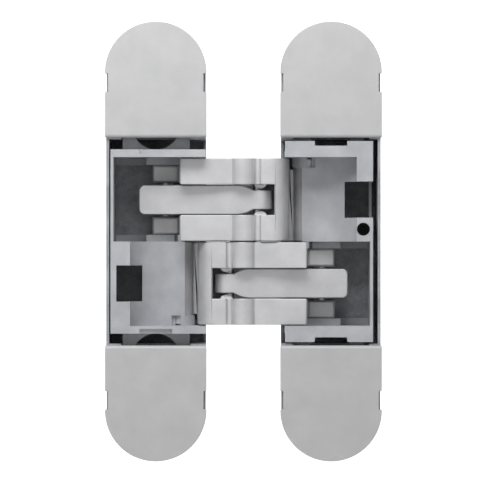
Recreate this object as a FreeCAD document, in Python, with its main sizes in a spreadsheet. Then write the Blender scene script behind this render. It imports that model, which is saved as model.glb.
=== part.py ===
import FreeCAD, Part
import math
import os
import Sketcher

# Concealed door hinge, seen open at 180 degrees, in millimetres.
# X runs across the two leaves with the frame leaf at -X, Y runs into the wood,
# and Z is up. The origin is the middle of the whole hinge.
# The two halves are alike: what the frame leaf has above the middle, the door leaf
# has below it. So each piece is drawn for the frame leaf, with Y counted from the
# leaf's face, and the door leaf's piece is the same one turned half a turn about Y.

doc = FreeCAD.newDocument("concealed_hinge")
sheet = doc.addObject("Spreadsheet::Sheet", "dims")


class Size:
    """A length that knows its value and the words that bind it to the sheet."""

    def __init__(self, value, text):
        self.value = value
        self.text = text

    def _join(self, other, sign, value):
        return Size(value, "(" + self.text + " " + sign + " " + as_size(other).text + ")")

    def __add__(self, other):
        return self._join(other, "+", self.value + as_size(other).value)

    def __sub__(self, other):
        return self._join(other, "-", self.value - as_size(other).value)

    def __mul__(self, other):
        return self._join(other, "*", self.value * as_size(other).value)

    def __truediv__(self, other):
        return self._join(other, "/", self.value / as_size(other).value)

    def __neg__(self):
        return Size(-self.value, "(0 - " + self.text + ")")


def as_size(number):
    if isinstance(number, Size):
        return number
    return Size(float(number), "(" + repr(float(number)) + ")")


def size(alias, number):
    """Write one driving dimension in the sheet and return it."""
    size.row = getattr(size, "row", 0) + 1
    sheet.set("A" + str(size.row), alias)
    sheet.set("B" + str(size.row), str(number))
    sheet.setAlias("B" + str(size.row), alias)
    return Size(float(number), "dims." + alias)


# Leaves, cases and covers
leaf_width = size("leaf_width", 28.0)
leaf_height = size("leaf_height", 121.4)
leaf_depth = size("leaf_depth", 28.4)
leaf_gap = size("leaf_gap", 20.4)
cover_thick = size("cover_thick", 1.6)
cover_height = size("cover_height", 32.0)
cover_edge = size("cover_edge", 0.9)
case_inset = size("case_inset", 0.3)
case_wall = size("case_wall", 0.8)
end_depth = size("end_depth", 12.8)
case_round = size("case_round", 0.8)
clip_notch = size("clip_notch", 0.8)
clip_high = size("clip_high", 5.1)
clip_thick = size("clip_thick", 0.6)
clip_reach = size("clip_reach", 6.5)

# Fixing and clamping screws
screw_bore = size("screw_bore", 2.6)
screw_sink = size("screw_sink", 4.2)
screw_outer = size("screw_outer", 55.0)
screw_inner = size("screw_inner", 34.4)
clamp_place = size("clamp_place", 44.5)
clamp_shank = size("clamp_shank", 2.0)
clamp_head = size("clamp_head", 3.9)
clamp_head_high = size("clamp_head_high", 2.2)
clamp_bite = size("clamp_bite", 3.0)
hex_key = size("hex_key", 1.5)

# Carriers, which slide in the cases
height_travel = size("height_travel", 2.5)
side_travel = size("side_travel", 1.0)
slide_gap = size("slide_gap", 0.3)
carrier_front = size("carrier_front", 1.0)
carrier_wall = size("carrier_wall", 0.8)
end_wall = size("end_wall", 2.1)
lip_high = size("lip_high", 2.3)
lip_deep = size("lip_deep", 4.0)
lip_notch_wide = size("lip_notch_wide", 9.0)
lip_notch_high = size("lip_notch_high", 1.3)
shelf_wide = size("shelf_wide", 18.5)
shelf_front = size("shelf_front", 6.0)
shelf_thick = size("shelf_thick", 3.0)
shelf_end = size("shelf_end", 47.5)
access_place = size("access_place", 32.2)
access_bore = size("access_bore", 6.7)
deck_depth = size("deck_depth", 17.4)
deck_left = size("deck_left", 27.1)
deck_rail = size("deck_rail", 1.9)
window_left = size("window_left", 35.1)
window_right = size("window_right", 28.1)
window_low = size("window_low", 6.6)
window_high = size("window_high", 16.6)
shield_edge = size("shield_edge", 31.3)
shield_start = size("shield_start", 6.2)
shield_tip = size("shield_tip", 16.3)
shield_tip_deep = size("shield_tip_deep", 13.6)
tongue_high = size("tongue_high", 2.75)
tongue_right = size("tongue_right", 13.6)
tongue_out = size("tongue_out", 4.6)
tongue_notch = size("tongue_notch", 20.0)
shield_wall = size("shield_wall", 1.0)
shield_round = size("shield_round", 16.0)
key_hole = size("key_hole", 1.8)
key_hole_in = size("key_hole_in", 33.15)
key_hole_up = size("key_hole_up", 3.4)

# The seven pivots: distance from the middle plane and depth from the face
arm_root_in = size("arm_root_in", 17.5)
arm_root_deep = size("arm_root_deep", 18.0)
link_root_in = size("link_root_in", 21.7)
link_root_deep = size("link_root_deep", 20.7)
centre_deep = size("centre_deep", 7.2)
link_end_in = size("link_end_in", 4.0)
link_end_deep = size("link_end_deep", 10.6)
arm_pin = size("arm_pin", 1.8)
link_pin = size("link_pin", 2.0)
centre_pin_r = size("centre_pin_r", 2.2)
link_end_pin = size("link_end_pin", 1.5)
open_pivot_gap = size("open_pivot_gap", 0.85)
lead_in = size("lead_in", 0.6)
lead_deep = size("lead_deep", 0.24)
fit_gap = size("fit_gap", 0.03)
run_gap = size("run_gap", 0.05)
bush_wall = size("bush_wall", 0.5)

# Arms and links
arm_high = size("arm_high", 22.9)
arm_space = size("arm_space", 0.15)
arm_front = size("arm_front", 4.6)
arm_reach = size("arm_reach", 17.7)
tine_back = size("tine_back", 8.6)
tine_round = size("tine_round", 0.6)
root_boss = size("root_boss", 3.4)
centre_boss = size("centre_boss", 3.7)
end_boss = size("end_boss", 3.6)
shoulder_in = size("shoulder_in", 12.6)
shoulder_round = size("shoulder_round", 5.2)
prong_drop = size("prong_drop", 0.6)
prong_start = size("prong_start", 3.0)
groove_in = size("groove_in", 3.9)
groove_round = size("groove_round", 0.9)
web_root = size("web_root", 0.3)
slot_high = size("slot_high", 8.5)
scoop = size("scoop", 4.6)
neck_in = size("neck_in", 4.7)
neck_round = size("neck_round", 1.9)
neck_boss = size("neck_boss", 1.25)
neck_front = size("neck_front", 7.7)
link_gap = size("link_gap", 0.15)
link_left = size("link_left", 29.0)
link_front = size("link_front", 10.8)
link_lip = size("link_lip", 4.2)
link_boss = size("link_boss", 4.4)
link_eye = size("link_eye", 3.3)
link_round = size("link_round", 1.6)
nose_start = size("nose_start", 2.4)
nose_round = size("nose_round", 9.0)
block_wide = size("block_wide", 7.6)
block_high = size("block_high", 5.1)
block_front = size("block_front", 17.5)
block_round = size("block_round", 0.8)
block_back = size("block_back", 26.0)
washer_thick = size("washer_thick", 0.2)
key_boss_wall = size("key_boss_wall", 0.9)
side_screw_deep = size("side_screw_deep", 12.0)
side_screw_front = size("side_screw_front", 3.0)

# Places worked out from the sizes
leaf_mid = -(leaf_gap + leaf_width) / 2
half_height = leaf_height / 2
cover_start = half_height - cover_height
end_round_place = half_height - leaf_width / 2
case_half = leaf_width / 2 - case_inset
room_half = case_half - case_wall
case_floor = leaf_depth - case_wall
arm_top = arm_space + arm_high
cavity_half = arm_top + slide_gap
wall_top = cavity_half + end_wall
room_high = wall_top + height_travel + slide_gap
carrier_back = case_floor - slide_gap
recess_floor = shelf_front + shelf_thick + fit_gap
slot_mid = arm_space + arm_high / 2
shelf_half = shelf_wide / 2

HALF_TURN = FreeCAD.Rotation(FreeCAD.Vector(0, 1, 0), 180)
NO_TURN = FreeCAD.Rotation()
pieces = []


def new_body(label, door):
    """Start a piece: drawn for the frame leaf, and turned half a turn for the door's."""
    body = doc.addObject("PartDesign::Body", label)
    body.Label = label
    base = FreeCAD.Vector(0, -leaf_depth.value / 2, 0)
    body.Placement = FreeCAD.Placement(base, HALF_TURN if door else NO_TURN)
    body.setExpression("Placement.Base.y", (-leaf_depth / 2).text)
    pieces.append(body)
    return body


def plane(body, role):
    for feature in body.Origin.OriginFeatures:
        if feature.Role == role:
            return feature


def new_sketch(body, name, role, offset):
    """A sketch flat on one of the body's own planes, moved along the plane's normal."""
    sketch = body.newObject("Sketcher::SketchObject", body.Label + "_" + name)
    sketch.AttachmentSupport = [(plane(body, role), "")]
    sketch.MapMode = "FlatFace"
    offset = as_size(offset)
    sketch.AttachmentOffset = FreeCAD.Placement(FreeCAD.Vector(0, 0, offset.value), NO_TURN)
    sketch.setExpression("AttachmentOffset.Base.z", offset.text)
    return sketch


def bind(sketch, kind, args, value):
    value = as_size(value)
    index = sketch.addConstraint(Sketcher.Constraint(kind, *args, value.value))
    sketch.setExpression("Constraints[" + str(index) + "]", value.text)


def near(value, target):
    return abs(value - as_size(target).value) < 0.01


def arc_between(start, end, radius):
    """The arc of a signed radius from start to end: plus turns left, minus turns right."""
    span = end - start
    middle = (start + end) * 0.5
    left = FreeCAD.Vector(-span.y, span.x, 0).normalize()
    reach = math.sqrt(max(radius * radius - span.Length * span.Length / 4, 0))
    centre = middle + left * (reach if radius > 0 else -reach)
    first = math.atan2(start.y - centre.y, start.x - centre.x)
    last = math.atan2(end.y - centre.y, end.x - centre.x)
    circle = Part.Circle(centre, FreeCAD.Vector(0, 0, 1), abs(radius))
    if radius > 0:
        return Part.ArcOfCircle(circle, first, last), 1, 2
    return Part.ArcOfCircle(circle, last, first), 2, 1


def outline(sketch, corners):
    """A closed outline through the corners. A third value rounds the run to a corner."""
    places = []
    for corner in corners:
        places.append(FreeCAD.Vector(as_size(corner[0]).value, as_size(corner[1]).value, 0))
    ends = []
    for number, corner in enumerate(corners):
        start = places[number - 1]
        end = places[number]
        if len(corner) > 2:
            curve, first, last = arc_between(start, end, corner[2].value)
            run = sketch.addGeometry(curve, False)
            radius = corner[2] if corner[2].value > 0 else -corner[2]
            if near((end - start).Length, radius * 2):
                bind(sketch, "DistanceY", (-1, 1, run, 3), corner[1])
            else:
                bind(sketch, "Radius", (run,), radius)
        else:
            run = sketch.addGeometry(Part.LineSegment(start, end), False)
            first, last = 1, 2
        ends.append((run, first, last))
    for number, corner in enumerate(corners):
        run, first, last = ends[number]
        after = ends[(number + 1) % len(ends)]
        sketch.addConstraint(Sketcher.Constraint("Coincident", run, last, after[0], after[1]))
        bind(sketch, "DistanceX", (-1, 1, run, last), corner[0])
        bind(sketch, "DistanceY", (-1, 1, run, last), corner[1])


def box_corners(left, right, low, high):
    return [(left, low), (right, low), (right, high), (left, high)]


def ring(sketch, across, up, radius):
    place = FreeCAD.Vector(as_size(across).value, as_size(up).value, 0)
    radius = as_size(radius)
    run = sketch.addGeometry(Part.Circle(place, FreeCAD.Vector(0, 0, 1), radius.value), False)
    bind(sketch, "Radius", (run,), radius)
    bind(sketch, "DistanceX", (-1, 1, run, 3), across)
    bind(sketch, "DistanceY", (-1, 1, run, 3), up)


def grow(body, sketch, length, cut, back):
    """Pad or pocket a sketch by a length, and check that it changed the piece."""
    before = body.Shape.Volume if body.Tip else 0.0
    kind = "PartDesign::Pocket" if cut else "PartDesign::Pad"
    feature = body.newObject(kind, sketch.Name + ("_cut" if cut else "_pad"))
    feature.Profile = sketch
    length = as_size(length)
    feature.Length = length.value
    feature.setExpression("Length", length.text)
    feature.Reversed = back
    doc.recompute()
    if abs(body.Shape.Volume - before) < 0.01:
        raise RuntimeError(feature.Name + " changed nothing")
    return feature


def up_from(body, name, low, high, draw, cut=False):
    """Extrude an outline drawn across the hinge (X, depth) from one height to another."""
    sketch = new_sketch(body, name, "XY_Plane", low)
    draw(sketch)
    return grow(body, sketch, as_size(high) - low, cut, cut)


def in_from(body, name, front, back, draw, cut=False):
    """Extrude an outline drawn on the face (X, Z) from one depth to another."""
    sketch = new_sketch(body, name, "XZ_Plane", -as_size(front))
    draw(sketch)
    return grow(body, sketch, as_size(back) - front, cut, not cut)


def box_up(body, name, low, high, left, right, front, back, cut=False):
    draw = lambda sketch: outline(sketch, box_corners(left, right, front, back))
    return up_from(body, name, low, high, draw, cut)


def box_in(body, name, front, back, left, right, low, high, cut=False):
    draw = lambda sketch: outline(sketch, box_corners(left, right, low, high))
    return in_from(body, name, front, back, draw, cut)


def round_up(body, name, low, high, across, deep, radius, cut=False):
    draw = lambda sketch: ring(sketch, across, deep, radius)
    return up_from(body, name, low, high, draw, cut)


def round_in(body, name, front, back, across, up, radius, cut=False):
    draw = lambda sketch: ring(sketch, across, up, radius)
    return in_from(body, name, front, back, draw, cut)


def dress(body, kind, name, amount, picks):
    """Round or bevel the edges of the piece so far that the picking rule accepts."""
    base = body.Tip
    names = []
    for number, edge in enumerate(base.Shape.Edges):
        if picks(edge):
            names.append("Edge" + str(number + 1))
    feature = body.newObject(kind, body.Label + "_" + name)
    feature.Base = (base, names)
    prop = "Radius" if kind.endswith("Fillet") else "Size"
    setattr(feature, prop, amount.value)
    feature.setExpression(prop, amount.text)
    doc.recompute()


def make_case(label, door):
    """Cast case: shallow round ends, a deep room for the linkage, and a mouth towards the gap."""
    body = new_body(label, door)
    top = half_height - case_inset
    bend = end_round_place
    left = leaf_mid - case_half
    right = leaf_mid + case_half

    def round_ended(sketch):
        outline(sketch, [(right, bend), (left, bend, case_half),
                         (left, -bend), (right, -bend, case_half)])

    in_from(body, "ends", cover_thick, end_depth, round_ended)
    deep_top = room_high + case_wall
    box_in(body, "deep", end_depth - fit_gap, leaf_depth, left, right, -deep_top, deep_top)
    box_in(body, "room", 0, case_floor, leaf_mid - room_half, leaf_mid + room_half,
           -room_high, room_high, cut=True)
    side_room = (side_travel if door else as_size(0)) + slide_gap
    recess_half = shelf_half + side_room
    recess_top = clamp_place + clamp_head + slide_gap
    if not door:
        recess_top = shelf_end + height_travel + slide_gap
    box_in(body, "recess", 0, recess_floor, leaf_mid - recess_half, leaf_mid + recess_half,
           -recess_top, recess_top, cut=True)
    box_in(body, "mouth", 0, carrier_back - end_wall, leaf_mid + room_half - fit_gap,
           right + slide_gap, -room_high, room_high, cut=True)
    for end, side in (("top", 1), ("bottom", -1)):
        for spot, place in (("outer", screw_outer), ("inner", screw_inner)):
            front = cover_thick if spot == "outer" else recess_floor
            round_in(body, end + "_" + spot + "_hole", 0, leaf_depth,
                     leaf_mid, place * side, screw_bore, cut=True)
            rim = front.value
            middle = leaf_mid.value
            height = place.value * side
            dress(body, "PartDesign::Chamfer", end + "_" + spot + "_sink",
                  screw_sink - screw_bore,
                  lambda edge: edge.Curve.TypeId == "Part::GeomCircle"
                  and near(edge.Curve.Radius, screw_bore)
                  and near(edge.Curve.Center.y, rim)
                  and near(edge.Curve.Center.z, height))
        round_in(body, end + "_thread", 0, recess_floor + clamp_bite,
                 leaf_mid, clamp_place * side, clamp_shank, cut=True)
        clip_top = (end_round_place - case_inset) * side
        clip_low = (end_round_place - case_inset - clip_high) * side
        deep = clip_notch + clip_thick + fit_gap
        for wall, outside, inside in (("left", left - slide_gap, left - case_inset + deep),
                                      ("right", right + case_inset - deep, right + slide_gap)):
            box_in(body, end + "_" + wall + "_clip", 0, clip_reach + slide_gap, outside, inside,
                   clip_low if side > 0 else clip_top, clip_top if side > 0 else clip_low,
                   cut=True)
    dress(body, "PartDesign::Fillet", "back_round", case_round,
          lambda edge: near(edge.BoundBox.YMin, leaf_depth) and edge.Length > leaf_width.value / 2)
    dress(body, "PartDesign::Fillet", "end_round", case_round,
          lambda edge: near(edge.BoundBox.YMin, end_depth) and near(edge.BoundBox.YMax, end_depth)
          and edge.Curve.TypeId == "Part::GeomCircle" and edge.Length > leaf_width.value / 2)
    return body


def make_cover(label, door, side):
    """Clip-on cover: a round-ended cap with a clip leg in a notch at each edge."""
    body = new_body(label, door)
    half = leaf_width / 2
    left = leaf_mid - half
    right = leaf_mid + half
    bend = end_round_place * side

    def cap(sketch):
        corners = [(right, cover_start * side), (right, bend),
                   (left, bend, half * side), (left, cover_start * side)]
        outline(sketch, corners)

    in_from(body, "cap", 0, cover_thick, cap)
    clip_top = (end_round_place - case_inset) * side
    clip_low = (end_round_place - case_inset - clip_high) * side
    low = clip_low if side > 0 else clip_top
    high = clip_top if side > 0 else clip_low
    box_in(body, "left_notch", 0, cover_thick, left - slide_gap, left + clip_notch,
           low, high, cut=True)
    box_in(body, "right_notch", 0, cover_thick, right - clip_notch, right + slide_gap,
           low, high, cut=True)
    box_in(body, "left_clip", cover_thick / 2, clip_reach, left + clip_notch - fit_gap,
           left + clip_notch + clip_thick, low + slide_gap, high - slide_gap)
    box_in(body, "right_clip", cover_thick / 2, clip_reach, right - clip_notch - clip_thick,
           right - clip_notch + fit_gap, low + slide_gap, high - slide_gap)
    dress(body, "PartDesign::Fillet", "soft_edge", cover_edge,
          lambda edge: near(edge.BoundBox.ZLength, 0) and near(edge.BoundBox.YLength, 0)
          and near(edge.BoundBox.YMin, 0) and near(edge.BoundBox.ZMin, cover_start * side))
    return body


def shield_line(offset):
    """The hollow curve that the arm's shoulder lies in when the hinge is shut."""
    return [(-shield_edge - offset, shield_start), (-shield_tip - offset, shield_tip_deep + offset)]


def make_carrier(label, door):
    """Cast carrier: holds the deep pivots, the bearing blocks and the hollow shield."""
    body = new_body(label, door)
    half = room_half - (side_travel if door else fit_gap * 3) - slide_gap
    left = leaf_mid - half
    right = leaf_mid + half
    beyond = right + slide_gap
    box_up(body, "block", -wall_top, wall_top, left, right, carrier_front, carrier_back)
    box_up(body, "upper_room", 0, cavity_half, left + carrier_wall, beyond,
           0, deck_depth, cut=True)
    box_up(body, "pivot_room", deck_rail, cavity_half - deck_rail, left + carrier_wall,
           beyond, deck_depth - fit_gap, carrier_back + slide_gap, cut=True)
    box_up(body, "dark_room", 0, cavity_half, left + carrier_wall, -deck_left,
           deck_depth - fit_gap, carrier_back - carrier_wall, cut=True)

    back = arm_root_deep + root_boss + slide_gap

    def rear_hollow(sketch):
        start, tip = shield_line(shield_wall)
        wall = -arm_root_in - root_boss - slide_gap - shield_wall
        outline(sketch, [(left + carrier_wall, carrier_front + shield_wall),
                         (start[0], carrier_front + shield_wall), start,
                         (wall, shield_tip_deep + shield_wall, -shield_round - shield_wall),
                         (wall, carrier_back + slide_gap),
                         (left + carrier_wall, carrier_back + slide_gap)])

    up_from(body, "rear_hollow", -cavity_half + shield_wall, -shield_wall, rear_hollow, cut=True)
    if door:
        round_in(body, "key_boss", carrier_front, side_screw_deep, -key_hole_in,
                 -key_hole_up, key_hole + key_boss_wall)

    def lower_room(sketch):
        start, tip = shield_line(as_size(0))
        outline(sketch, [(beyond, 0), (beyond, back), (-arm_root_in, back),
                         (-arm_root_in, arm_root_deep), (-shield_tip, arm_root_deep),
                         tip, start + (shield_round,), (start[0], 0)])

    up_from(body, "lower_room", -cavity_half, 0, lower_room, cut=True)
    round_up(body, "boss_room", -cavity_half, 0, -arm_root_in, arm_root_deep,
             root_boss + slide_gap, cut=True)
    box_in(body, "tongue_notch", 0, arm_root_deep - root_boss, -tongue_notch, -arm_root_in,
           -cavity_half, -cavity_half + tongue_high, cut=True)

    def tongue(sketch):
        inside = root_boss + slide_gap
        out = arm_root_deep - tongue_out
        across = tongue_right - arm_root_in
        drop = tongue_out * 0.55
        outline(sketch, [(-arm_root_in, out), (-tongue_right, arm_root_deep - drop, tongue_out),
                         (-tongue_right - slide_gap * 3, arm_root_deep - drop + slide_gap),
                         (-arm_root_in, arm_root_deep - inside, -inside)])

    up_from(body, "tongue", -cavity_half, -cavity_half + tongue_high, tongue)
    window_edge = left - slide_gap if door else -window_left
    box_in(body, "window", 0, arm_root_deep - bush_wall, window_edge, -window_right,
           -window_high, -window_low, cut=True)
    if door:
        round_in(body, "key_hole", 0, side_screw_deep, -key_hole_in, -key_hole_up,
                 key_hole, cut=True)
    for end, side in (("top", 1), ("bottom", -1)):
        inner = wall_top * side
        outer = shelf_end * side
        box_in(body, end + "_shelf", shelf_front, shelf_front + shelf_thick,
               leaf_mid - shelf_half, leaf_mid + shelf_half,
               inner - fit_gap if side > 0 else outer, outer if side > 0 else inner + fit_gap)
        lip_top = (wall_top + (lip_high if door else as_size(0))) * side
        if door:
            box_in(body, end + "_lip", carrier_front, lip_deep, left, right,
                   inner - fit_gap if side > 0 else lip_top,
                   lip_top if side > 0 else inner + fit_gap)
        notch = lip_notch_high * side
        box_in(body, end + "_notch", 0, lip_deep if door else carrier_front * 2,
               leaf_mid - lip_notch_wide / 2, leaf_mid + lip_notch_wide / 2,
               lip_top - notch if side > 0 else lip_top,
               lip_top if side > 0 else lip_top - notch, cut=True)
        round_in(body, end + "_access", 0, shelf_front + shelf_thick, leaf_mid,
                 access_place * side, access_bore, cut=True)
        wide = clamp_shank + slide_gap + (side_travel if door else as_size(0))
        tall = clamp_shank + slide_gap + (as_size(0) if door else height_travel)
        box_in(body, end + "_slot", 0, shelf_front + shelf_thick, leaf_mid - wide,
               leaf_mid + wide, clamp_place * side - tall, clamp_place * side + tall, cut=True)
    round_up(body, "arm_bore", -wall_top, deck_rail, -arm_root_in, arm_root_deep,
             arm_pin + fit_gap, cut=True)
    round_up(body, "link_bore", 0, wall_top, -link_root_in, link_root_deep,
             link_pin + fit_gap, cut=True)
    return body


def make_arm(label, door):
    """Cast arm: a root boss, the centre boss, and two tines with the link's slot between."""
    body = new_body(label, door)
    low = -arm_top
    high = -arm_space

    prong_front = arm_front + prong_drop
    web_front = arm_root_deep + web_root

    def side_view(sketch):
        outline(sketch, [
            (-prong_start, arm_front),
            (-prong_start, centre_deep),
            (prong_start, centre_deep),
            (prong_start, prong_front),
            (arm_reach, prong_front),
            (arm_reach, tine_back),
            (link_end_in, tine_back + fit_gap),
            (link_end_in / 3, centre_deep + centre_boss),
            (-link_end_in, link_end_deep + end_boss),
            (-shoulder_in + end_boss, arm_root_deep + root_boss * 0.7),
            (-shoulder_in, arm_root_deep + root_boss),
            (-arm_root_in, arm_root_deep + root_boss),
            (-arm_root_in, web_front),
            (-shoulder_in, web_front),
            (-shoulder_in, arm_front + shoulder_round),
            (-shoulder_in + shoulder_round, arm_front, shoulder_round),
        ])

    up_from(body, "web", low, high, side_view)
    round_up(body, "root", low, high, -arm_root_in, arm_root_deep, root_boss)
    round_up(body, "centre", low, high, 0, centre_deep, centre_boss)
    round_up(body, "link_end", low, high, -link_end_in, link_end_deep, end_boss)
    round_up(body, "groove", low, high, -groove_in, arm_front, groove_round, cut=True)
    slot_low = -slot_mid - slot_high / 2
    slot_top = -slot_mid + slot_high / 2
    box_up(body, "slot", slot_low, slot_top, -link_end_in, arm_reach + slide_gap,
           0, carrier_back, cut=True)
    round_up(body, "scoop", slot_low, slot_top, -link_end_in, link_end_deep, scoop, cut=True)
    box_up(body, "scoop_mouth", slot_low, slot_top, -link_end_in - scoop, 0, 0,
           link_end_deep, cut=True)
    neck_low = slot_low + neck_boss - neck_round
    neck_high = slot_top - neck_boss + neck_round
    neck_back = link_end_deep + end_boss
    round_in(body, "low_neck", neck_front, neck_back, -neck_in, neck_low, neck_round)
    round_in(body, "high_neck", neck_front, neck_back, -neck_in, neck_high, neck_round)

    def tongue_room(sketch):
        ring(sketch, -arm_root_in, arm_root_deep, root_boss)
        ring(sketch, -arm_root_in, arm_root_deep, tongue_out + slide_gap)

    up_from(body, "tongue_room", low, -cavity_half + tongue_high + slide_gap, tongue_room,
            cut=True)
    round_up(body, "root_bore", low, high, -arm_root_in, arm_root_deep,
             arm_pin + run_gap + bush_wall + fit_gap, cut=True)
    bore = centre_pin_r + (fit_gap if door else run_gap + bush_wall + fit_gap)
    pin_half = arm_space - slot_top
    round_up(body, "centre_bore", -pin_half, high, 0, centre_deep, bore, cut=True)
    round_up(body, "link_bore", slot_low - block_high, slot_top + block_high,
             -link_end_in, link_end_deep, link_end_pin + fit_gap, cut=True)
    dress(body, "PartDesign::Fillet", "tine_edges", tine_round,
          lambda edge: near(edge.BoundBox.XMin, arm_reach) and near(edge.BoundBox.XMax, arm_reach))
    return body


def make_link(label, door):
    """Cast link: a root boss with a flat front, narrowed to an eye that enters the arm's neck."""
    body = new_body(label, door)
    half = slot_high / 2 - link_gap
    low = slot_mid - half
    high = slot_mid + half
    eye_in = link_end_in + lead_in
    eye_deep = link_end_deep - lead_deep
    narrow = neck_boss + link_gap

    def side_view(sketch):
        outline(sketch, [
            (-link_left, link_front),
            (-link_left, link_front + link_lip),
            (-link_root_in - link_boss * 0.95, link_root_deep),
            (-link_root_in, link_root_deep + link_boss),
            (eye_in, eye_deep + link_eye),
            (eye_in, eye_deep - link_eye),
        ])

    up_from(body, "bar", low, high, side_view)
    round_up(body, "root", low, high, -link_root_in, link_root_deep, link_boss)
    nose = eye_in + link_eye + open_pivot_gap
    neck_at = neck_in - neck_round - link_gap

    def nose_side(side):
        edge = slot_mid + half * side
        inner = slot_mid + (half - narrow) * side
        bow = nose_round if side > 0 else -nose_round

        def draw(sketch):
            outline(sketch, [(-nose_start, edge), (neck_at, inner, -bow), (nose, inner),
                             (nose, edge + slide_gap * side), (-nose_start, edge + slide_gap * side)])

        return draw

    in_from(body, "low_nose", 0, carrier_back, nose_side(-1), cut=True)
    in_from(body, "high_nose", 0, carrier_back, nose_side(1), cut=True)
    round_up(body, "eye", low + narrow, high - narrow, eye_in, eye_deep, link_eye)
    round_up(body, "root_bore", low, high, -link_root_in, link_root_deep,
             link_pin + run_gap + bush_wall + fit_gap, cut=True)
    round_up(body, "eye_bore", low, high, eye_in, eye_deep,
             link_end_pin + open_pivot_gap, cut=True)
    dress(body, "PartDesign::Fillet", "left_round", link_round,
          lambda edge: near(edge.BoundBox.XMin, -link_left) and near(edge.BoundBox.XMax, -link_left)
          and near(edge.BoundBox.ZLength, 0))
    return body


def make_block(label, door, low):
    """A bearing block that carries the link's root pin beside the link."""
    body = new_body(label, door)
    left = -link_root_in - block_wide / 2
    right = -link_root_in + block_wide / 2
    box_up(body, "block", low, low + block_high, left, right, block_front, block_back)
    round_up(body, "bore", low, low + block_high, -link_root_in, link_root_deep,
             link_pin + fit_gap, cut=True)
    dress(body, "PartDesign::Fillet", "front_round", block_round,
          lambda edge: near(edge.BoundBox.YMin, block_front)
          and near(edge.BoundBox.YMax, block_front))
    return body


def make_screws(label, door):
    """The two socket screws that clamp the carrier's shelves to the case."""
    body = new_body(label, door)
    foot = recess_floor + clamp_bite - slide_gap
    for end, side in (("top", 1), ("bottom", -1)):
        place = clamp_place * side
        round_in(body, end + "_shank", shelf_front - fit_gap, foot, leaf_mid, place,
                 clamp_shank - fit_gap)
        round_in(body, end + "_head", shelf_front - clamp_head_high, shelf_front, leaf_mid,
                 place, clamp_head)
        round_in(body, end + "_socket", shelf_front - clamp_head_high,
                 shelf_front - clamp_head_high / 3, leaf_mid, place, hex_key, cut=True)
    return body


def rod(label, door, across, deep, radius, low, high):
    """A plain round pin along Z."""
    body = new_body(label, door)
    round_up(body, "pin", low, high, across, deep, radius)
    return body


def tube(label, door, across, deep, inner, low, high):
    """A thin bearing bush round a pin."""
    body = new_body(label, door)
    round_up(body, "wall", low, high, across, deep, inner + bush_wall)
    round_up(body, "bore", low, high, across, deep, inner, cut=True)
    return body


def make_side_screw(label, door):
    """The screw behind the key hole, which shifts the door's carrier sideways."""
    body = new_body(label, door)
    round_in(body, "shank", side_screw_front, side_screw_deep, -key_hole_in, -key_hole_up,
             key_hole - fit_gap)
    round_in(body, "socket", side_screw_front, side_screw_front + clamp_head_high,
             -key_hole_in, -key_hole_up, hex_key * 0.7, cut=True)
    return body


for door, leaf, other in ((False, "frame", "door"), (True, "door", "frame")):
    make_case(leaf + "_case", door)
    make_cover(leaf + ("_bottom_cover" if door else "_top_cover"), door, 1)
    make_cover(leaf + ("_top_cover" if door else "_bottom_cover"), door, -1)
    make_carrier(leaf + "_carrier", door)
    make_arm(leaf + "_arm", door)
    make_link(leaf + "_link", door)
    make_screws(leaf + "_clamp_screws", door)
    near_block = deck_rail + fit_gap
    far_block = cavity_half - deck_rail - block_high - fit_gap
    make_block(leaf + "_inner_bearing_block", door, near_block)
    make_block(leaf + "_outer_bearing_block", door, far_block)
    rod(leaf + "_arm_pin", door, -arm_root_in, arm_root_deep, arm_pin, -wall_top, deck_rail)
    rod(leaf + "_link_pin", door, -link_root_in, link_root_deep, link_pin, 0, wall_top)
    end_low = -slot_mid - slot_high / 2 - block_high
    end_high = -slot_mid + slot_high / 2 + block_high
    rod(other + "_link_end_pin", door, -link_end_in, link_end_deep, link_end_pin,
        end_low, end_high)
    tube(leaf + "_arm_bush", door, -arm_root_in, arm_root_deep, arm_pin + run_gap,
         -arm_top, -arm_space)
    link_half = slot_high / 2 - link_gap
    tube(leaf + "_link_bush", door, -link_root_in, link_root_deep, link_pin + run_gap,
         slot_mid - link_half, slot_mid + link_half)
inner_reach = slot_mid - slot_high / 2
rod("centre_pin", False, 0, centre_deep, centre_pin_r, -inner_reach, inner_reach)
tube("centre_bush", False, 0, centre_deep, centre_pin_r + run_gap, -inner_reach, -arm_space)
washer = new_body("arm_washer", False)
round_up(washer, "wall", -washer_thick / 2, washer_thick / 2, 0, centre_deep, centre_boss)
round_up(washer, "bore", -washer_thick / 2, washer_thick / 2, 0, centre_deep,
         centre_pin_r + run_gap, cut=True)
make_side_screw("side_screw", True)

doc.recompute()
for item in doc.Objects:
    if "Invalid" in item.State or "Error" in item.State:
        raise RuntimeError(item.Label + " failed: " + str(item.State))
for piece in pieces:
    if piece.Shape.isNull() or not piece.Shape.isValid():
        raise RuntimeError(piece.Label + " has no valid shape")
os.makedirs("parts", exist_ok=True)
for piece in pieces:
    piece.Shape.exportStep("parts/" + piece.Label + ".step")
    print(piece.Label, len(piece.Shape.Solids), round(piece.Shape.Volume, 1))
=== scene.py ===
import math

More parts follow.
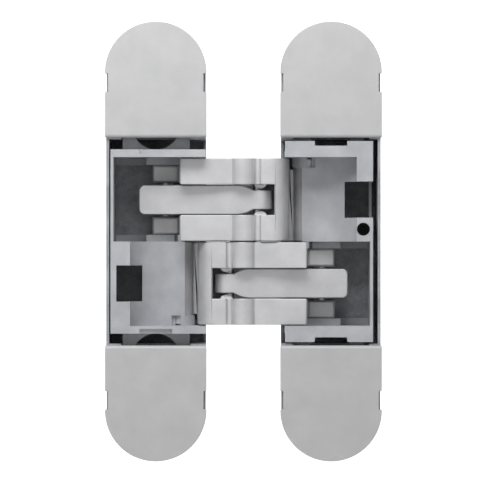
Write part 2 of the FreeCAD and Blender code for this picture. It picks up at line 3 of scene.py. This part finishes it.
import bmesh
import bpy
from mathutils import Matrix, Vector


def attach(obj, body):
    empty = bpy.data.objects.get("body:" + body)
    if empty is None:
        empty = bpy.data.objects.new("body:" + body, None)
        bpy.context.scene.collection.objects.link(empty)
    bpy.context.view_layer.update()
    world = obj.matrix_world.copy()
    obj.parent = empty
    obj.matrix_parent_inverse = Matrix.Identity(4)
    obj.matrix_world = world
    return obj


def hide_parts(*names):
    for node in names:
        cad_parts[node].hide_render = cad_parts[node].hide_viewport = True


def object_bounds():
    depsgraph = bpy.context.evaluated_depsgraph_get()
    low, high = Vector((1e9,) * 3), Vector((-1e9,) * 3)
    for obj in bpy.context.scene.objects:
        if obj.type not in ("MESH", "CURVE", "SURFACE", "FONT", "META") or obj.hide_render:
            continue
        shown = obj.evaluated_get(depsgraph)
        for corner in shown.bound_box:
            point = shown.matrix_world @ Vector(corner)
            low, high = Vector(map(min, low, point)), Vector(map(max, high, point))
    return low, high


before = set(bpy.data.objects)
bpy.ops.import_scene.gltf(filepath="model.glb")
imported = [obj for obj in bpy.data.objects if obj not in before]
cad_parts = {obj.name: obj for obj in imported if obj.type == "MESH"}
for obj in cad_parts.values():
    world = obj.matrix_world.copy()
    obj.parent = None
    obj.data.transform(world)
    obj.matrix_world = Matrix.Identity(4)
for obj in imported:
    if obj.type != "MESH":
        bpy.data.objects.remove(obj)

cad_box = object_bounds()

MM = 0.001
HALVES = ("frame", "door")


# Cases
# The two cases are die-cast zinc shells let into the wood. Inside and out they
# show the rough, dull skin that the casting die leaves, so the room behind the
# moving parts looks dark and mottled.
CASE_LIGHT = "#aeb0b4"
CASE_DARK = "#86888c"
CASE_EDGE = 0.2

MERGE = 0.002
SAME_FLAT = 0.5
BEVEL_STEPS = 2
BEVEL_FROM = 32
SHARP_FROM = 40
FLAT_WEIGHT = 90

CLOUD_MM = 7
GRAIN_SHARE = 0.6
TONE_RANGE = (0.6, 1.0)
ROUGH_RANGE = (0.3, 0.7)
ROUGH_LESS = 0.05
ROUGH_MORE = 0.07


def linear(hex_colour):
    """An sRGB hex colour as linear red, green, blue and alpha."""
    channels = [int(hex_colour[place:place + 2], 16) / 255 for place in (1, 3, 5)]
    return [c / 12.92 if c <= 0.04045 else ((c + 0.055) / 1.055) ** 2.4 for c in channels] + [1.0]


def add_node(tree, kind, settings=None, inputs=None, links=None):
    """Add one node with its settings, its input values and its incoming links."""
    node = tree.nodes.new(kind)
    for name, value in (settings or {}).items():
        setattr(node, name, value)
    for name, value in (inputs or {}).items():
        node.inputs[name].default_value = value
    for name, socket in (links or {}).items():
        tree.links.new(socket, node.inputs[name])
    return node


def new_material(name):
    """An empty node material, and its tree."""
    material = bpy.data.materials.new(name)
    material.use_nodes = True
    material.node_tree.nodes.clear()
    return material, material.node_tree


def cast_finish(name, light, dark, metallic, roughness, grain_mm, relief_mm):
    """A lacquered or bare metal surface: a slightly mottled tone and a fine grain.

    The grain is the grit of the blasting or of the die's skin, drawn coarser than
    the real tenth of a millimetre, which is too fine to show. The cloud is the slow
    change of tone, a few millimetres across, that cast zinc always has.
    """
    material, tree = new_material(name)
    place = add_node(tree, "ShaderNodeTexCoord")
    grain = add_node(tree, "ShaderNodeTexNoise",
                     inputs={"Scale": 1 / (grain_mm * MM), "Detail": 4.0, "Roughness": 0.62},
                     links={"Vector": place.outputs["Object"]})
    cloud = add_node(tree, "ShaderNodeTexNoise",
                     inputs={"Scale": 1 / (CLOUD_MM * MM), "Detail": 3.0, "Roughness": 0.55},
                     links={"Vector": place.outputs["Object"]})
    both = add_node(tree, "ShaderNodeMath", {"operation": "MULTIPLY_ADD"}, {1: GRAIN_SHARE},
                    {0: grain.outputs["Fac"], 2: cloud.outputs["Fac"]})
    tone = add_node(tree, "ShaderNodeMapRange",
                    inputs={"From Min": TONE_RANGE[0], "From Max": TONE_RANGE[1]},
                    links={"Value": both.outputs[0]})
    colour = add_node(tree, "ShaderNodeMix", {"data_type": "RGBA"},
                      {6: linear(dark), 7: linear(light)}, {0: tone.outputs["Result"]})
    relief = add_node(tree, "ShaderNodeBump",
                      inputs={"Strength": 0.6, "Distance": relief_mm * MM},
                      links={"Height": grain.outputs["Fac"]})
    rough = add_node(tree, "ShaderNodeMapRange",
                     inputs={"From Min": ROUGH_RANGE[0], "From Max": ROUGH_RANGE[1],
                             "To Min": roughness - ROUGH_LESS, "To Max": roughness + ROUGH_MORE},
                     links={"Value": both.outputs[0]})
    shader = add_node(tree, "ShaderNodeBsdfPrincipled", inputs={"Metallic": metallic},
                      links={"Base Color": colour.outputs[2], "Normal": relief.outputs[0],
                             "Roughness": rough.outputs["Result"]})
    add_node(tree, "ShaderNodeOutputMaterial", links={"Surface": shader.outputs[0]})
    return material


def new_object(name, mesh):
    """An object at the origin that shows this mesh."""
    thing = bpy.data.objects.new(name, mesh)
    bpy.context.scene.collection.objects.link(thing)
    return thing


def merged_copy(node):
    """A CAD node's loose triangles as one joined shape."""
    shape = bmesh.new()
    shape.from_mesh(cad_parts[node].data)
    bmesh.ops.remove_doubles(shape, verts=shape.verts, dist=MERGE * MM)
    return shape


def settle(piece, name):
    """Turn the piece's modifiers into its mesh."""
    rough_mesh = piece.data
    evaluated = piece.evaluated_get(bpy.context.evaluated_depsgraph_get())
    piece.data = bpy.data.meshes.new_from_object(evaluated)
    piece.data.name = name
    piece.modifiers.clear()
    bpy.data.meshes.remove(rough_mesh)


def cast_copy(node, body, material, edge_mm, reshape=None, added=(), crowded=False):
    """A CAD casting again, with its sharp edges broken as blasting and lacquer leave them.

    A reshape function may move points of the copy, and added prisms are joined on.
    A crowded casting has tiny steps side by side. Its bevel is limited to the room
    at the tightest of them, so its edges stay all but sharp.
    """
    name = node + "_cast"
    shape = merged_copy(node)
    if reshape:
        reshape(shape)
    bmesh.ops.dissolve_limit(shape, angle_limit=math.radians(SAME_FLAT), verts=shape.verts,
                             edges=shape.edges, delimit={"NORMAL"})
    for face in shape.faces:
        face.smooth = True
    mesh = bpy.data.meshes.new(name)
    shape.to_mesh(mesh)
    shape.free()
    mesh.materials.append(material)
    piece = new_object(name, mesh)
    for extra in added:
        join = piece.modifiers.new("join " + extra.name, "BOOLEAN")
        join.operation = "UNION"
        join.solver = "EXACT"
        join.object = extra
    bevel = piece.modifiers.new("broken edges", "BEVEL")
    bevel.width = edge_mm * MM
    bevel.segments = BEVEL_STEPS
    bevel.limit_method = "ANGLE"
    bevel.angle_limit = math.radians(BEVEL_FROM)
    bevel.use_clamp_overlap = crowded
    settle(piece, name)
    for extra in added:
        bpy.data.objects.remove(extra)
    piece.data.set_sharp_from_angle(angle=math.radians(SHARP_FROM))
    shading = piece.modifiers.new("even shading", "WEIGHTED_NORMAL")
    shading.weight = FLAT_WEIGHT
    shading.keep_sharp = True
    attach(piece, body)
    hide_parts(node)


# Bare die-cast zinc, as cast: dull blue-grey, and rough like fine sand.
cast_skin = cast_finish("as-cast zinc", CASE_LIGHT, CASE_DARK,
                        metallic=0.2, roughness=0.62, grain_mm=0.55, relief_mm=0.12)
for half in HALVES:
    cast_copy(half + "_case", half + "_case", cast_skin, CASE_EDGE,
              crowded=True)


# Carriers
# The carriers are smaller zinc castings that slide in the cases and carry the
# fixed pivots. They are blasted smooth and lacquered satin silver, a shade
# darker and bluer than the arms, and each ends in a bracket above and below.
CARRIER_LIGHT = "#b2b4b8"
CARRIER_DARK = "#9fa1a5"
CARRIER_EDGE = 0.22

LEAF_MIDDLE = -24.2
BRACKET_FRONT = 1.0
BRACKET_BACK = 24.9
BRACKET_IN = 23.35
BRACKET_OUT = 25.45
BRACKET_END = {"frame": -10.5, "door": -11.5}
BRACKET_JOIN = -13.4
LIP_BACK = 3.6
LIP_OUT = 27.75
LIP_OVERLAP = 0.2
LIP_FILL_HALF = 5.4
NOTCH_FLOOR = 26.45
NOTCH_HALF = 4.5


def prism(name, outline, low, high, turned):
    """A solid with this outline of (across, deep) points in mm, between two heights.

    Everything is given for the frame leaf, with depth counted from the leaf's face,
    and is turned half a turn about Y where it is for the door leaf.
    """
    way = -1 if turned else 1
    shape = bmesh.new()
    rings = [[shape.verts.new((across * way * MM, cad_box[0][1] + deep * MM, height * way * MM))
              for across, deep in outline] for height in (low, high)]
    for ring in rings:
        shape.faces.new(ring)
    for here in range(len(outline)):
        after = (here + 1) % len(outline)
        shape.faces.new((rings[0][here], rings[0][after], rings[1][after], rings[1][here]))
    bmesh.ops.recalc_face_normals(shape, faces=shape.faces)
    mesh = bpy.data.meshes.new(name)
    shape.to_mesh(mesh)
    shape.free()
    return new_object(name, mesh)


def slab(name, left, right, front, back, one_height, other_height, turned):
    """A straight block, between two heights in either order."""
    outline = [(left, front), (right, front), (right, back), (left, back)]
    return prism(name, outline, *sorted((one_height, other_height)), turned)


# Satin silver lacquer on blasted zinc: soft sheen, with a grain that barely shows.
carrier_lacquer = cast_finish("satin lacquer on zinc, carriers", CARRIER_LIGHT, CARRIER_DARK,
                              metallic=0.15, roughness=0.45, grain_mm=0.28, relief_mm=0.02)
for half in HALVES:
    turned = half == "door"
    brackets = []
    for side in (1, -1):
        brackets.append(slab("bracket end", BRACKET_JOIN, BRACKET_END[half], BRACKET_FRONT,
                             BRACKET_BACK, BRACKET_IN * side, BRACKET_OUT * side, turned))
        if not turned:
            continue
        lip_from = BRACKET_OUT * side - LIP_OVERLAP * side
        for left, right, rise in ((-LIP_FILL_HALF, LIP_FILL_HALF, NOTCH_FLOOR),
                                  (-LIP_FILL_HALF, -NOTCH_HALF, LIP_OUT),
                                  (NOTCH_HALF, LIP_FILL_HALF, LIP_OUT)):
            brackets.append(slab("lip", LEAF_MIDDLE + left, LEAF_MIDDLE + right, BRACKET_FRONT,
                                 LIP_BACK, lip_from, rise * side, turned))
        brackets.append(slab("lip end", BRACKET_JOIN, BRACKET_END[half], BRACKET_FRONT,
                             LIP_BACK, lip_from, LIP_OUT * side, turned))
    cast_copy(half + "_carrier", half + "_carrier", carrier_lacquer,
              CARRIER_EDGE, added=brackets, crowded=True)


# Arms and links
# The two arms cross in the middle, and a link runs from each leaf into the slot
# of the other leaf's arm, with a web behind its nose. All four are zinc castings
# with wide soft curves, and have the lightest and smoothest lacquer of the hinge.
ARM_LIGHT = "#c2c2c3"
ARM_DARK = "#b2b2b4"
ARM_EDGE = 0.25
LINK_EDGE = 0.35

SLOT_LOW = -15.95
SLOT_HIGH = -7.25
WEB = [(-9.0, 15.4), (-5.0, 15.4), (-2.0, 16.0), (2.2, 17.7),
       (2.2, 18.9), (-2.4, 17.2), (-5.2, 16.7), (-9.0, 16.7)]

# Satin silver lacquer over finer blasting, so the curves shade evenly.
arm_lacquer = cast_finish("satin lacquer on zinc, arms", ARM_LIGHT, ARM_DARK,
                          metallic=0.3, roughness=0.4, grain_mm=0.22, relief_mm=0.015)
for half in HALVES:
    web = prism("web", WEB, SLOT_LOW, SLOT_HIGH, half == "door")
    cast_copy(half + "_arm", half + "_arm", arm_lacquer, ARM_EDGE, added=[web])
    cast_copy(half + "_link", half + "_link", arm_lacquer, LINK_EDGE)


# Gap shade films
# The arms slide on each other and the links slide in the arms' slots. Thin
# near-black films on these faces are painted shade for the narrow gaps, and show as fine dark
# lines along each joint.
SHADE_FILM = 0.12
FLAT = 0.99
ARM_FACE = 0.2

# Bearing plastic, an acetal: near black, close and slightly waxy. On the films
# the same near black is painted shade, the dark of the narrow gaps.
plastic_and_gap_shade = cast_finish("moulded acetal, also painted gap shade", "#2e2f32", "#242528",
                              metallic=0.0, roughness=0.45, grain_mm=0.4, relief_mm=0.01)


def gap_shade_film(name, node, chosen):
    """A near-black film of painted gap shade on the chosen flat faces of a casting, which rides
    with it.
    """
    shape = merged_copy(node)
    others = [face for face in shape.faces if not chosen(face)]
    bmesh.ops.delete(shape, geom=others, context="FACES")
    mesh = bpy.data.meshes.new(name)
    shape.to_mesh(mesh)
    shape.free()
    mesh.materials.append(plastic_and_gap_shade)
    piece = new_object(name, mesh)
    thick = piece.modifiers.new("shade film thickness", "SOLIDIFY")
    thick.thickness = SHADE_FILM * MM
    thick.offset = 1.0
    settle(piece, name)
    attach(piece, node)


# The films paint the shade of the gaps between the two arms and beside the links.
for half in HALVES:
    gap_shade_film(half + "_arm_shade_film", half + "_arm",
              lambda face: abs(face.normal.z) > FLAT
              and abs(face.calc_center_median().z) < ARM_FACE * MM)
    gap_shade_film(half + "_link_shade_films", half + "_link", lambda face: abs(face.normal.z) > FLAT)


# Bearing blocks
# Two blocks beside each link's deep end hold its pin. They are small zinc
# castings pressed into the carrier, with the arms' lacquer and rounder edges.
BLOCK_EDGE = 0.3

for half in HALVES:
    for place in ("inner", "outer"):
        cast_copy(half + "_" + place + "_bearing_block", half + "_carrier",
                  arm_lacquer, BLOCK_EDGE)


# Pins and bushes
# The pivots are ground steel pins, and most turn in thin bushes of bearing
# plastic. Only their ends show, inside the linkage.
def finish_node(name, material):
    """Give a CAD piece its material."""
    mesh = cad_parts[name].data
    mesh.materials.clear()
    mesh.materials.append(material)


# Ground steel: bright and smooth, with fine marks of the wheel.
pin_steel = cast_finish("ground steel", "#a9abae", "#97999c",
                        metallic=1.0, roughness=0.27, grain_mm=0.12, relief_mm=0.004)
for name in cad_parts:
    if name.endswith("_pin"):
        finish_node(name, pin_steel)
    if name.endswith(("_bush", "_washer")):
        finish_node(name, plastic_and_gap_shade)


# Clamping and adjusting screws
# Socket screws of ground steel clamp the carriers in the cases. One more, behind
# the round key hole, shifts the door's carrier sideways; it is painted near black
# as the shade of the deep hole.
SCREW_EDGE = 0.1
SCREW_SINK = 5.5
SCREW_FRONT = 6.0


def sink_screw(shape):
    """The screw's head sits deep in its hole, so the hole looks black from in front."""
    for point in shape.verts:
        if point.co.y < cad_box[0][1] + SCREW_FRONT * MM:
            point.co.y += SCREW_SINK * MM


for half in HALVES:
    finish_node(half + "_clamp_screws", pin_steel)

# Near-black steel: painted shade on the screw, so the key hole stays dark as a deep hole does.
key_hole_shade_steel = cast_finish("near-black steel, painted key hole shade", "#333436", "#26272a",
                          metallic=0.6, roughness=0.5, grain_mm=0.2, relief_mm=0.004)
cast_copy("side_screw", "door_carrier", key_hole_shade_steel, SCREW_EDGE, sink_screw,
          crowded=True)


# Covers
# Each leaf end has a thin clip-on cover, cast flat and round-ended. It has the
# finest lacquer, and its face is bare here, with no lettering.
COVER_LIGHT = "#b8b8b9"
COVER_DARK = "#b0b0b1"
COVER_EDGE = 0.15

# Satin silver lacquer with a fine even sparkle, like frosted metal.
cover_lacquer = cast_finish("satin lacquer on zinc, covers", COVER_LIGHT, COVER_DARK,
                            metallic=0.12, roughness=0.5, grain_mm=0.2, relief_mm=0.02)
for half in HALVES:
    for end in ("top", "bottom"):
        cast_copy(half + "_" + end + "_cover", half + "_case", cover_lacquer,
                  COVER_EDGE)


# Studio
# A white paper sweep under and behind the hinge, two soft lamps and a camera
# straight in front of the leaves, as in the photograph. Sizes are in metres.
WHITE = (1, 1, 1, 1)
WIDE = 1.6
NEAR = -1.2
DEEP = 0.35
TALL = 1.2
FLOOR = -0.09
PAPER = "#e8e8e8"
PAPER_GLOW = 0.9
ROOM_LIGHT = 0.26

corners = [(-WIDE, NEAR, FLOOR), (WIDE, NEAR, FLOOR), (WIDE, DEEP, FLOOR),
           (-WIDE, DEEP, FLOOR), (WIDE, DEEP, TALL), (-WIDE, DEEP, TALL)]
backdrop_mesh = bpy.data.meshes.new("backdrop")
backdrop_mesh.from_pydata(corners, [], [(0, 1, 2, 3), (3, 2, 4, 5)])
backdrop = new_object("backdrop", backdrop_mesh)


def white_when_seen(tree, strength, otherwise):
    """One strength for what is seen straight, in gloss or through glass, and one for the rest."""
    seen = add_node(tree, "ShaderNodeLightPath")
    straight = add_node(tree, "ShaderNodeMath", {"operation": "MAXIMUM"},
                        links={0: seen.outputs["Is Camera Ray"],
                               1: seen.outputs["Is Glossy Ray"]})
    either = add_node(tree, "ShaderNodeMath", {"operation": "MAXIMUM"},
                      links={0: straight.outputs[0], 1: seen.outputs["Is Transmission Ray"]})
    level = add_node(tree, "ShaderNodeMapRange", inputs={"To Min": otherwise, "To Max": strength},
                     links={"Value": either.outputs[0]})
    return level.outputs["Result"]


# Matt white paper. Its glow makes it clip to pure white where it is seen, so no
# shadow shows on it, and from its back nothing of it is seen.
paper, paper_tree = new_material("matt white paper")
matt = add_node(paper_tree, "ShaderNodeBsdfDiffuse", inputs={"Color": linear(PAPER)})
glow = add_node(paper_tree, "ShaderNodeEmission", inputs={"Color": WHITE},
                links={"Strength": white_when_seen(paper_tree, PAPER_GLOW, 0.0)})
front = add_node(paper_tree, "ShaderNodeAddShader",
                 links={0: matt.outputs[0], 1: glow.outputs[0]})
back = add_node(paper_tree, "ShaderNodeBsdfTransparent")
facing = add_node(paper_tree, "ShaderNodeNewGeometry")
sheet = add_node(paper_tree, "ShaderNodeMixShader",
                 links={0: facing.outputs["Backfacing"], 1: front.outputs[0],
                        2: back.outputs[0]})
add_node(paper_tree, "ShaderNodeOutputMaterial", links={"Surface": sheet.outputs[0]})
backdrop_mesh.materials.append(paper)


def soft_lamp(name, place, size, power):
    """A rectangular soft lamp that points at the middle of the hinge."""
    data = bpy.data.lights.new(name, "AREA")
    data.shape = "RECTANGLE"
    data.size, data.size_y = size
    data.energy = power
    lamp = new_object(name, data)
    lamp.location = place
    lamp.rotation_euler = (-Vector(place)).to_track_quat("-Z", "Y").to_euler()


soft_lamp("key lamp above left", place=(-0.05, -0.20, 0.22), size=(0.22, 0.14), power=0.85)
soft_lamp("fill lamp beside camera", place=(0.12, -1.1, 0.05), size=(0.7, 0.7), power=0.6)

world = bpy.data.worlds.new("studio")
bpy.context.scene.world = world
world.use_nodes = True
room = world.node_tree
room.nodes.clear()
sky = add_node(room, "ShaderNodeBackground", inputs={"Color": WHITE},
               links={"Strength": white_when_seen(room, 1.0, ROOM_LIGHT)})
add_node(room, "ShaderNodeOutputWorld", links={"Surface": sky.outputs[0]})

PIXEL_MM = 0.2759
MIDDLE_PIXEL = (243.4, 241.5)
PICTURE = 500
CAMERA_AWAY = 1.4
SENSOR = 36

camera_data = bpy.data.cameras.new("camera")
camera_data.sensor_width = SENSOR
camera_data.lens = SENSOR * CAMERA_AWAY / (PIXEL_MM * PICTURE * MM)
camera = new_object("camera", camera_data)
camera.location = ((PICTURE / 2 - MIDDLE_PIXEL[0]) * PIXEL_MM * MM,
                   cad_box[0][1] - CAMERA_AWAY,
                   (MIDDLE_PIXEL[1] - PICTURE / 2) * PIXEL_MM * MM)
camera.rotation_euler = (math.pi / 2, 0, 0)
bpy.context.scene.camera = camera
bpy.context.scene.view_settings.view_transform = "Standard"
